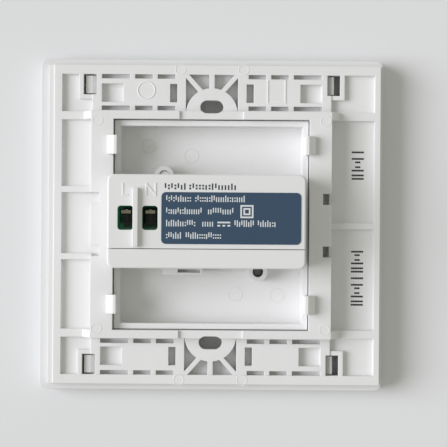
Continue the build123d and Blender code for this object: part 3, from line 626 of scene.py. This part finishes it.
def print_row_tree():
    """Row of plain print shapes, picked in a fixed random order: ticks and stacked dots."""
    dot_share, dot_levels = 1.25, (0.08, 0.68)
    floats = dict.fromkeys(("Pitch", "Stroke", "Tall", "Short", "Film"), "Float")
    inputs = {"Count": "Int", **floats, "Seed": "Int", "Material": "Material"}
    sheet, given = new_growth("print_row", inputs)
    stroke, film = given["Stroke"], given["Film"]
    tall, short = given["Tall"], given["Short"]
    base = 0.0 * film
    square = stroke * dot_share
    tall_tick = flat_bar(sheet, base, base, stroke, tall, film)
    short_tick = flat_bar(sheet, base, base, stroke, short, film)
    raised_tick = flat_bar(sheet, base, tall - short, stroke, short, film)
    dots = [flat_bar(sheet, base, short * level, square, square, film) for level in dot_levels]
    shapes = ([tall_tick], [short_tick], [raised_tick], [short_tick], dots)
    kinds = [sheet.node("GeometryNodeGeometryToInstance", {}, {0: sheet.gathered(parts)}) for parts in shapes]
    step = sheet.node("ShaderNodeCombineXYZ", {}, {"X": given["Pitch"]})
    row = sheet.node("GeometryNodeMeshLine", {}, {"Count": given["Count"], "Offset": step})
    # Inputs 4 and 5 and output 2 are the node's whole numbers
    draw = {4: 0, 5: len(kinds) - 1, "Seed": given["Seed"]}
    pick = sheet.node("FunctionNodeRandomValue", {"data_type": "INT"}, draw, output=2)
    placed = {"Points": row, "Instance": sheet.gathered(kinds), "Pick Instance": True, "Instance Index": pick}
    return close_growth(sheet, sheet.node("GeometryNodeInstanceOnPoints", {}, placed), given["Material"])


def ring_tree():
    """Thin raised ring on each point, as an ejector pin leaves."""
    inputs = {"Points": "Geometry", "Radius": "Float", "Line": "Float", "Material": "Material"}
    sheet, given = new_growth("pin_rings", inputs)
    path = sheet.node("GeometryNodeCurvePrimitiveCircle", {}, {"Resolution": 40, "Radius": given["Radius"]})
    section = sheet.node("GeometryNodeCurvePrimitiveCircle", {}, {"Resolution": 8, "Radius": given["Line"]})
    ring = sheet.node("GeometryNodeCurveToMesh", {}, {"Curve": path, "Profile Curve": section})
    rings = sheet.node("GeometryNodeInstanceOnPoints", {}, {"Points": given["Points"], "Instance": ring})
    return close_growth(sheet, rings, given["Material"])


def dot_tree():
    """Low round dot of ink on each point."""
    inputs = {"Points": "Geometry", "Dot": "Float", "Film": "Float", "Material": "Material"}
    sheet, given = new_growth("ink_dots", inputs)
    size = {"Vertices": 10, "Radius": given["Dot"] * 0.5, "Depth": given["Film"]}
    dot = sheet.node("GeometryNodeMeshCylinder", {"fill_type": "NGON"}, size)
    dots = sheet.node("GeometryNodeInstanceOnPoints", {}, {"Points": given["Points"], "Instance": dot})
    return close_growth(sheet, dots, given["Material"])


def print_words(name, printing, material, words, cell, stroke, level):
    """Mesh of print: each word is a base line and its two ends, filled with plain shapes."""
    tree = print_row_tree()
    rows = []
    for number, (base, left, right) in enumerate(words):
        count = max(1, round((right - left) / cell))
        values = {
            "Count": count,
            "Pitch": (right - left) / count,
            "Stroke": stroke,
            "Tall": printing.tall,
            "Short": printing.short,
            "Film": printing.ink_film,
            "Seed": printing.seed + number,
            "Material": material,
        }
        row = grow(tree, values)
        row.transform(Matrix.Translation((left, base, level)))
        rows.append(row)
    return joined(name, rows)


def add_stroke(shape, start, end, width, level, rise, draft=0.0):
    """Adds a straight raised stroke to a mesh under construction, with sides that lean in by the draft."""
    start, end = Vector(start), Vector(end)
    along = (end - start).normalized() * (width / 2)
    side = Vector((-along.y, along.x))
    rings = []
    for height, spread in ((level, 1.0), (level + rise, 1.0 - 2 * draft / width)):
        corners = (start - (along + side) * spread, start - (along - side) * spread)
        corners += (end + (along + side) * spread, end + (along - side) * spread)
        rings.append([shape.verts.new((*corner, height)) for corner in corners])
    skin(shape, rings)


def stroke_mesh(name, strokes, width, level, rise, draft=0.0):
    """Mesh of raised strokes, each given by its two ends and a hair higher than the one before."""
    shape = bmesh.new()
    for number, (start, end) in enumerate(strokes):
        add_stroke(shape, start, end, width, level, rise + number * HAIR, draft)
    bmesh.ops.recalc_face_normals(shape, faces=shape.faces)
    return mesh_of(name, shape)


def frame_strokes(left, low, right, high):
    """The four strokes of a rectangular frame."""
    corners = [(left, low), (right, low), (right, high), (left, high)]
    return [(corners[place], corners[(place + 1) % 4]) for place in range(4)]


def settings():
    """The plate's settings on the current scene."""
    return bpy.context.scene.wall_plate


class WALLPLATE_OT_mouldings(bpy.types.Operator):
    """Finish the cover, the mounting grid and the centre panel"""

    bl_idname = "wallplate.mouldings"
    bl_label = "Mouldings"

    # Heights of the web's underside and of the cover's pads close below it
    WEB_LOW = 5.0 * MM
    PAD_TOP = 4.8 * MM
    # Floors in the right column's notches that are sunk, as low and high corners
    WELLS = [
        (Vector((28.45, low, 6.65)) * MM, Vector((30.3, low + 2.8, 6.65)) * MM) for low in (5.3, -8.1)
    ]
    # Most drop from a snap hook's crest to its outer edge
    HOOK_DROP = 1.5 * MM
    # How far a crown stands in from its hook's sides, and reaches down into it
    CROWN_INSET = 0.02 * MM
    CROWN_OVERLAP = 0.15 * MM

    def execute(self, context):
        moulding = settings().moulding
        # Each node with its slot, the tone and gloss of its white, and what alters its form
        for node, slot, tone, gloss, alter in (
            ("cover_frame", "cover_white", 0.96, 0.1, self.fit_cover),
            ("mounting_grid", "grid_white", 1.01, 0.0, self.fit_grid),
            ("centre_panel", "panel_white", 1.08, 0.04, None),
        # The panel's white is paler than the other mouldings' to brighten its shaded tray: painted light
        ):
            soft_edged(node, moulded_white(slot, moulding, tone, gloss), moulding, alter)
        self.add_crowns(moulding)
        return {"FINISHED"}

    @classmethod
    def fit_cover(cls, shape, moulding):
        """Moves the outer faces of the cover's hooks to the left, and lifts its pads."""
        top = max(corner.co.z for corner in shape.verts)
        reach = max(abs(corner.co.x) for corner in shape.verts if top - corner.co.z < HAIR)
        for corner in shape.verts:
            if abs(abs(corner.co.x) - reach) < HAIR:
                corner.co.x -= moulding.left_post if corner.co.x < 0.0 else moulding.right_post
        cls.lift_level(shape, cls.PAD_TOP, moulding.floor_lift)

    @classmethod
    def fit_grid(cls, shape, moulding):
        """Sinks the right column's notches, and lifts the web's underside."""
        for low, high in cls.WELLS:
            sink_well(shape, low, high, moulding.well_depth)
        cls.lift_level(shape, cls.WEB_LOW, moulding.floor_lift)

    @staticmethod
    def lift_level(shape, level, lift):
        """Lifts everything that lies at one level."""
        corners = [corner for corner in shape.verts if abs(corner.co.z - level) < HAIR]
        if not corners:
            raise ValueError("nothing to lift")
        bmesh.ops.translate(shape, vec=(0.0, 0.0, lift), verts=corners)

    @classmethod
    def add_crowns(cls, moulding):
        """Adds wedges that make the panel's snap hooks higher, flat on top and steeper outside."""
        corners = [corner.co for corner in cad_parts["centre_panel"].data.vertices]
        top = max(corner.z for corner in corners)
        shape = bmesh.new()
        for side in (-1, 1):
            for end in (-1, 1):
                hook = [c for c in corners if c.x * side > 0 and c.y * end > 0 and top - c.z < cls.HOOK_DROP]
                cls.add_crown(shape, moulding, hook, top, side)
        bmesh.ops.recalc_face_normals(shape, faces=shape.faces)
        mesh = rounded_mesh("hook_crowns", shape, moulding)
        add_piece("hook_crowns", mesh, bpy.data.materials["panel_white"])

    @classmethod
    def add_crown(cls, shape, moulding, hook, top, side):
        """Adds one wedge over the corners of a hook that points to the given side."""
        crest = [corner for corner in hook if top - corner.z < HAIR]
        near, far = min(corner.y for corner in crest), max(corner.y for corner in crest)
        beside = [corner for corner in hook if near - HAIR < corner.y < far + HAIR]
        outer = max(beside, key=lambda corner: (round(corner.x * side / HAIR), corner.z))
        inner = crest[0].x + side * cls.CROWN_INSET
        lip = outer.x - side * cls.CROWN_INSET
        high = top + moulding.crown_rise
        outline = [
            (inner, top - cls.CROWN_OVERLAP),
            (inner, high),
            (inner + moulding.crown_share * (outer.x - inner), high),
            (lip, outer.z + moulding.lip_rise),
            (lip, outer.z - cls.CROWN_OVERLAP),
        ]
        ends = (near + cls.CROWN_INSET, far - cls.CROWN_INSET)
        skin(shape, [[shape.verts.new((x, y, z)) for x, z in outline] for y in ends])


class WALLPLATE_OT_marks(bpy.types.Operator):
    """Add the ejector marks, the plain ring and the plain frame to the mouldings, and ink to the pockets"""

    bl_idname = "wallplate.marks"
    bl_label = "Moulded marks"

    GRID_PINS = [(x * MM, y * MM) for y in (39.8, -39.8) for x in (-8.1, 8.1)]
    COLUMN_PINS = [(x * MM, y * MM) for y in (26.5, -26.5) for x in (-29.0, 29.0)]
    TRAY_PINS = [(x * MM, y * MM) for x, y in ((-5.3, 17.9), (-16.2, 20.2), (6.3, -17.9), (17.1, -18.2))]
    RING = (-16.8 * MM, 34.4 * MM)
    # Left, low, right and high
    FRAME = [value * MM for value in (14.3, 31.3, 18.8, 37.2)]
    INK_X = 37.6 * MM
    INK_CELL = 2.1 * MM
    # Each cell's bars, as a row of dots and how many dots it reaches from its middle
    INK_BARS = (((0, 3), (2, 3)), ((0, 3), (2, 1)), ((0, 1), (2, 3)), ((1, 3),))
    INK_SPANS = [(low * MM, high * MM) for low, high in ((12.1, 20.6), (-20.3, -5.4))]

    def execute(self, context):
        marks = settings().marks
        tree = ring_tree()
        grid_white = bpy.data.materials["grid_white"]
        panel_white = bpy.data.materials["panel_white"]
        pins = resting_points("mounting_grid", self.GRID_PINS + self.COLUMN_PINS)
        ring = resting_points("mounting_grid", [self.RING])
        level = resting_points("mounting_grid", [self.FRAME[:2]])[0][2]
        strokes = frame_strokes(*self.FRAME)
        parts = [
            self.rings(tree, pins, marks.pin_radius, marks.pin_line, grid_white),
            self.rings(tree, ring, marks.ring_radius, marks.ring_line, grid_white),
            stroke_mesh("frame", strokes, marks.frame_stroke, level, marks.frame_rise, marks.frame_draft),
        ]
        add_piece("grid_marks", joined("grid_marks", parts), grid_white)
        tray = resting_points("centre_panel", self.TRAY_PINS)
        mesh = self.rings(tree, tray, marks.tray_pin_radius, marks.pin_line, panel_white)
        add_piece("tray_marks", mesh, panel_white)
        self.add_ink(settings().printing)
        return {"FINISHED"}

    @staticmethod
    def rings(tree, points, radius, line, material):
        """Mesh of rings on the given points."""
        return grow(tree, {"Radius": radius, "Line": line, "Material": material}, points)

    def add_ink(self, printing):
        """Dotted bars across the two right pockets, single and in pairs by turns."""
        dots = []
        pitch = printing.dot_pitch
        for low, high in self.INK_SPANS:
            count = round((high - low) / self.INK_CELL)
            for number in range(count):
                start = low + number * (high - low) / count
                for row, reach in self.INK_BARS[number % len(self.INK_BARS)]:
                    places = range(-reach, reach + 1)
                    dots += [(self.INK_X + place * pitch, start + row * pitch) for place in places]
        jet = ink("jet_ink", printing.jet_ink)
        points = resting_points("mounting_grid", dots, printing.ink_film / 2)
        values = {"Dot": printing.dot, "Film": printing.ink_film, "Material": jet}
        add_piece("pocket_ink", grow(dot_tree(), values, points), jet)


class WALLPLATE_OT_module(bpy.types.Operator):
    """Finish the charger module's case"""

    bl_idname = "wallplate.module"
    bl_label = "Charger module"

    # Slot through the latch loop, as low and high corners
    LATCH_SLOT = (Vector((-8.4, -12.2, 8.0)) * MM, Vector((-2.7, -11.4, 9.4)) * MM)
    # Wall of the cup that closes the slot, its reach into the loop and its play inside the slot
    CUP_WALL = 0.35 * MM
    CUP_OVERLAP = 0.05 * MM
    CUP_PLAY = 0.02 * MM
    # Letters: drop from the label's top, insets from the bars' left ends and widths
    LETTER_DROP = 0.75 * MM
    L_INSET = 0.55 * MM
    L_WIDTH = 1.2 * MM
    N_INSET = 0.3 * MM
    N_WIDTH = 2.3 * MM

    def execute(self, context):
        moulding = settings().moulding
        white = moulded_white("case_white", moulding, tone=1.0, gloss=0.03)
        for node, alter in (("module_case", None), ("module_base", self.close_latch)):
            soft_edged(node, white, moulding, alter)
        screw = metal("blackened_screw", (0.2, 0.195, 0.185), along=(1.0, 1.0, 0.3), roughness=0.5)
        dress(screw, "module_screw")
        self.add_letters(settings().marks, white)
        return {"FINISHED"}

    @classmethod
    def close_latch(cls, shape, moulding):
        """Adds a cup under the latch loop, which closes its slot from below."""
        low, high = cls.LATCH_SLOT
        floor, top = high.z - moulding.latch_depth, low.z + cls.CUP_OVERLAP
        outside = ((cls.CUP_WALL, floor - cls.CUP_WALL), (cls.CUP_WALL, top))
        inside = ((cls.CUP_PLAY, top), (cls.CUP_PLAY, floor))
        rings = []
        for spread, level in outside + inside:
            left, right = low.x - spread, high.x + spread
            near, far = low.y - spread, high.y + spread
            corners = ((left, near), (right, near), (right, far), (left, far))
            rings.append([shape.verts.new((x, y, level)) for x, y in corners])
        skin(shape, rings)
        shape.normal_update()

    @classmethod
    def add_letters(cls, marks, white):
        """Adds the raised letters of the two poles, over their wire entries."""
        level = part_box("rating_label")[0].z
        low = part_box("rating_label")[1].y - cls.LETTER_DROP
        high = low + marks.letter_height
        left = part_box("contact_bar_live")[0].x + cls.L_INSET
        strokes = [((left, high), (left, low)), ((left, low), (left + cls.L_WIDTH, low))]
        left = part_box("contact_bar_neutral")[0].x + cls.N_INSET
        right = left + cls.N_WIDTH
        strokes += [((left, low), (left, high)), ((left, high), (right, low)), ((right, low), (right, high))]
        mesh = stroke_mesh(
            "pole_letters", strokes, marks.letter_stroke, level, marks.letter_rise, marks.letter_draft
        )
        add_piece("pole_letters", mesh, white)


class WALLPLATE_OT_label(bpy.types.Operator):
    """Finish the label film and print it with plain strokes and shapes"""

    bl_idname = "wallplate.label"
    bl_label = "Label and print"

    # Places in millimetres, across from the film's left edge. Each line's words, as left and right ends
    LINES = (
        ((1.2, 7.6), (8.4, 21.0)),
        ((1.2, 10.3), (11.6, 18.2)),
        ((1.2, 8.7), (10.2, 13.2), (18.2, 23.3), (24.0, 28.7)),
        ((1.2, 5.2), (6.1, 15.1)),
    )
    HEADING = ((0.8, 6.4), (6.9, 18.9))
    HEADING_GAP = 0.6
    # Drop from the film's top to the first line's base
    FIRST_BASE = 2.4
    # Nested squares, as left side, drop from the film's top and width
    SQUARES = ((19.85, 3.3, 2.85), (20.6, 4.05, 1.35))
    # Bar and dashes, as left and right ends and height over their line's base
    DASH_LINE = 2
    DASHES = ((14.15, 16.95, 1.05), (14.15, 14.45, 0.25), (15.4, 15.7, 0.25), (16.65, 16.95, 0.25))

    def execute(self, context):
        printing = settings().printing
        dress(label_film(printing), "rating_label")
        self.low, self.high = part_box("rating_label")
        self.add_print(printing, ink("pale_ink", printing.pale_ink))
        self.add_heading(printing, ink("dark_ink", printing.dark_ink))
        return {"FINISHED"}

    def base(self, printing, line):
        """Height of a line's base."""
        return self.high.y - self.FIRST_BASE * MM - line * printing.line_pitch

    def across(self, millimetres):
        """Place at a distance from the film's left edge."""
        return self.low.x + millimetres * MM

    def add_print(self, printing, pale):
        """Word rows, nested squares and a bar over three dashes, on the film."""
        words = []
        for line, ends in enumerate(self.LINES):
            base = self.base(printing, line)
            words += [(base, self.across(left), self.across(right)) for left, right in ends]
        rows = print_words("words", printing, pale, words, printing.cell, printing.stroke, self.high.z)
        symbols = []
        for left, drop, side in self.SQUARES:
            top = self.high.y - drop * MM
            symbols += frame_strokes(self.across(left), top - side * MM, self.across(left + side), top)
        for left, right, rise in self.DASHES:
            level = self.base(printing, self.DASH_LINE) + rise * MM
            symbols.append(((self.across(left), level), (self.across(right), level)))
        shapes = stroke_mesh("symbols", symbols, printing.symbol_stroke, self.high.z, printing.ink_film)
        add_piece("label_print", joined("label_print", [rows, shapes]), pale)

    def add_heading(self, printing, dark):
        """Bolder row of shapes over the film, on the case."""
        base = self.high.y + self.HEADING_GAP * MM
        words = [(base, self.across(left), self.across(right)) for left, right in self.HEADING]
        cell, stroke = printing.heading_cell, printing.heading_stroke
        mesh = print_words("case_print", printing, dark, words, cell, stroke, self.low.z)
        add_piece("case_print", mesh, dark)


class WALLPLATE_OT_terminals(bpy.types.Operator):
    """Finish the terminal block, its contact bars, screws and cages"""

    bl_idname = "wallplate.terminals"
    bl_label = "Terminals"

    # Painted shade deep in the block, painted light at its rim and left end, and how far each fades
    PAINTED_SHADE_GREEN = (0.001, 0.012, 0.005)
    PAINTED_LIGHT_GREEN = (0.012, 0.145, 0.06)
    PAINTED_FADE_DEPTH = 0.5 * MM
    PAINTED_GLOW_REACH = 1.0 * MM
    TIN = (0.19, 0.18, 0.12)
    # Near-black tint of the bars' deep ends: painted shade
    PAINTED_SHADE_TIN = (0.015, 0.016, 0.012)
    ZINC = (0.66, 0.66, 0.63)
    NICKEL = (0.05, 0.052, 0.044)

    def execute(self, context):
        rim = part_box("terminal_block")[1].z
        front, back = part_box("contact_bar_live")
        tints = (self.PAINTED_SHADE_GREEN, self.PAINTED_LIGHT_GREEN)
        green = nylon_with_painted_light(*tints, rim - self.PAINTED_FADE_DEPTH, rim, front.x, self.PAINTED_GLOW_REACH)
        dress(green, "terminal_block")
        for kind, finish in (
            ("contact_bar_", tinned_bar_with_painted_shade(self.TIN, self.PAINTED_SHADE_TIN, level=(front.z + back.z) / 2)),
            ("clamp_screw_", metal("zinc_screw", self.ZINC, along=(1.0, 0.2, 1.0), roughness=0.34)),
            ("clamp_cage_", metal("nickel_cage", self.NICKEL, along=(0.2, 1.0, 1.0), roughness=0.6)),
        ):
            dress(finish, *(kind + pole for pole in POLES))
        return {"FINISHED"}


class WALLPLATE_OT_electronics(bpy.types.Operator):
    """Finish the circuit board and what stands on it"""

    bl_idname = "wallplate.electronics"
    bl_label = "Electronics"

    SLEEVE = (0.02, 0.02, 0.028)
    CAN_TOP = (0.7, 0.7, 0.7)
    STRIPE = (0.5, 0.5, 0.5)
    # Bare metal above the sleeve
    BARE_TOP = 0.6 * MM

    def execute(self, context):
        dress(lacquered_board((0.012, 0.075, 0.03)), "circuit_board")
        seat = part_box("circuit_board")[1].y
        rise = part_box("bulk_capacitors")[1].y - seat - self.BARE_TOP
        can = sleeved_can(self.SLEEVE, self.CAN_TOP, self.STRIPE, seat, rise)
        dress(can, "bulk_capacitors", "output_capacitor")
        dress(sintered("ferrite", (0.03, 0.03, 0.032)), "transformer_core", "input_choke")
        dress(taped_winding((0.62, 0.46, 0.05)), "transformer_winding")
        dress(nylon("bobbin_nylon", (0.02, 0.02, 0.02)), "transformer_bobbin")
        dress(nylon("dipped_ceramic", (0.03, 0.1, 0.34)), "y_capacitor")
        dress(nylon("resistor_lacquer", (0.16, 0.25, 0.2)), "fuse_resistor")
        packages = ("bridge_rectifier", "switch_chip", "optocoupler", "output_diode")
        dress(sintered("package_resin", (0.014, 0.014, 0.016)), *packages)
        return {"FINISHED"}


class WALLPLATE_OT_usb(bpy.types.Operator):
    """Finish the USB socket"""

    bl_idname = "wallplate.usb"
    bl_label = "USB socket"

    # Stretch of the lines that run into the socket
    DRAWN = (1.0, 1.0, 0.2)

    def execute(self, context):
        shell = metal("shell_steel", (0.68, 0.68, 0.67), along=self.DRAWN, roughness=0.28)
        dress(shell, "usb_shell")
        dress(nylon("tongue_nylon", (0.72, 0.72, 0.7)), "usb_tongue")
        gilt = metal("contact_gilt", (0.8, 0.58, 0.22), along=self.DRAWN, roughness=0.25)
        dress(gilt, "usb_contacts")
        return {"FINISHED"}


class WALLPLATE_OT_stage(bpy.types.Operator):
    """Set the table, the light from the left, the room's light and the camera above"""

    bl_idname = "wallplate.stage"
    bl_label = "Stage"

    def execute(self, context):
        stage = settings().stage
        self.add_floor(stage)
        self.add_key(stage)
        self.add_room(context.scene, stage)
        self.add_camera(context.scene, stage)
        context.scene.view_settings.view_transform = "Standard"
        return {"FINISHED"}

    @staticmethod
    def add_floor(stage):
        half = stage.floor_reach
        mesh = bpy.data.meshes.new("table")
        corners = [(-half, -half, 0.0), (half, -half, 0.0), (half, half, 0.0), (-half, half, 0.0)]
        mesh.from_pydata(corners, [], [(0, 1, 2, 3)])
        finish = Finish("table")
        base = finish.blend(finish.noise(stage.cloud_size), stage.floor, shade(stage.floor, 0.975))
        mesh.materials.append(finish.done(base_color=base, roughness=0.6))
        linked("table", mesh)

    @staticmethod
    def add_key(stage):
        lamp = bpy.data.lights.new("key", "SUN")
        lamp.energy = stage.key_strength
        lamp.angle = stage.key_spread
        lamp.color = stage.key_colour
        key = linked("key", lamp)
        turn, height = stage.key_azimuth, stage.key_elevation
        flat = math.cos(height)
        travel = Vector((flat * math.cos(turn), -flat * math.sin(turn), -math.sin(height)))
        key.rotation_mode = "QUATERNION"
        key.rotation_quaternion = travel.to_track_quat("-Z", "Y")

    @staticmethod
    def add_room(scene, stage):
        world = bpy.data.worlds.new("room")
        world.use_nodes = True
        sheet = NodeSheet(world.node_tree)
        sheet.tree.nodes.clear()
        path = sheet.tree.nodes.new("ShaderNodeLightPath")
        seen = Signal(sheet, path.outputs["Is Camera Ray"])
        for kind in ("Is Glossy Ray", "Is Transmission Ray"):
            seen = seen.math("MAXIMUM", seen, Signal(sheet, path.outputs[kind]))
        fill = {"Color": (*stage.fill_colour, 1.0), "Strength": stage.fill_strength}
        light = sheet.node("ShaderNodeBackground", {}, fill)
        backdrop = sheet.node("ShaderNodeBackground", {}, {"Color": (*stage.floor, 1.0), "Strength": 1.0})
        mixed = sheet.node("ShaderNodeMixShader", {}, {0: seen, 1: light, 2: backdrop})
        sheet.node("ShaderNodeOutputWorld", {}, {"Surface": mixed})
        scene.world = world

    @staticmethod
    def add_camera(scene, stage):
        lens = bpy.data.cameras.new("camera")
        lens.lens = stage.camera_lens
        lens.sensor_width = 36.0
        lens.clip_start = 0.01
        camera = linked("camera", lens)
        camera.location = (stage.camera_across, stage.camera_up, stage.camera_height)
        camera.rotation_euler = (0.0, 0.0, stage.camera_roll)
        scene.camera = camera


class WALLPLATE_PT_panel(bpy.types.Panel):
    """The plate's operators in the sidebar"""

    bl_idname = "WALLPLATE_PT_panel"
    bl_label = "Wall plate"
    bl_space_type = "VIEW_3D"
    bl_region_type = "UI"
    bl_category = "Wall plate"

    def draw(self, context):
        for operator in OPERATORS:
            self.layout.operator(operator.bl_idname)


OPERATORS = (
    WALLPLATE_OT_mouldings,
    WALLPLATE_OT_marks,
    WALLPLATE_OT_module,
    WALLPLATE_OT_label,
    WALLPLATE_OT_terminals,
    WALLPLATE_OT_electronics,
    WALLPLATE_OT_usb,
    WALLPLATE_OT_stage,
)
CLASSES = (
    MouldingSettings,
    PrintSettings,
    MarkSettings,
    StageSettings,
    PlateSettings,
    *OPERATORS,
    WALLPLATE_PT_panel,
)


def register():
    for cls in CLASSES:
        bpy.utils.register_class(cls)
    bpy.types.Scene.wall_plate = PointerProperty(type=PlateSettings)


def unregister():
    del bpy.types.Scene.wall_plate
    for cls in reversed(CLASSES):
        bpy.utils.unregister_class(cls)


def main():
    register()
    bpy.ops.wallplate.mouldings()
    bpy.ops.wallplate.marks()
    bpy.ops.wallplate.module()
    bpy.ops.wallplate.label()
    bpy.ops.wallplate.terminals()
    bpy.ops.wallplate.electronics()
    bpy.ops.wallplate.usb()
    bpy.ops.wallplate.stage()


if __name__ == "__main__":
    main()
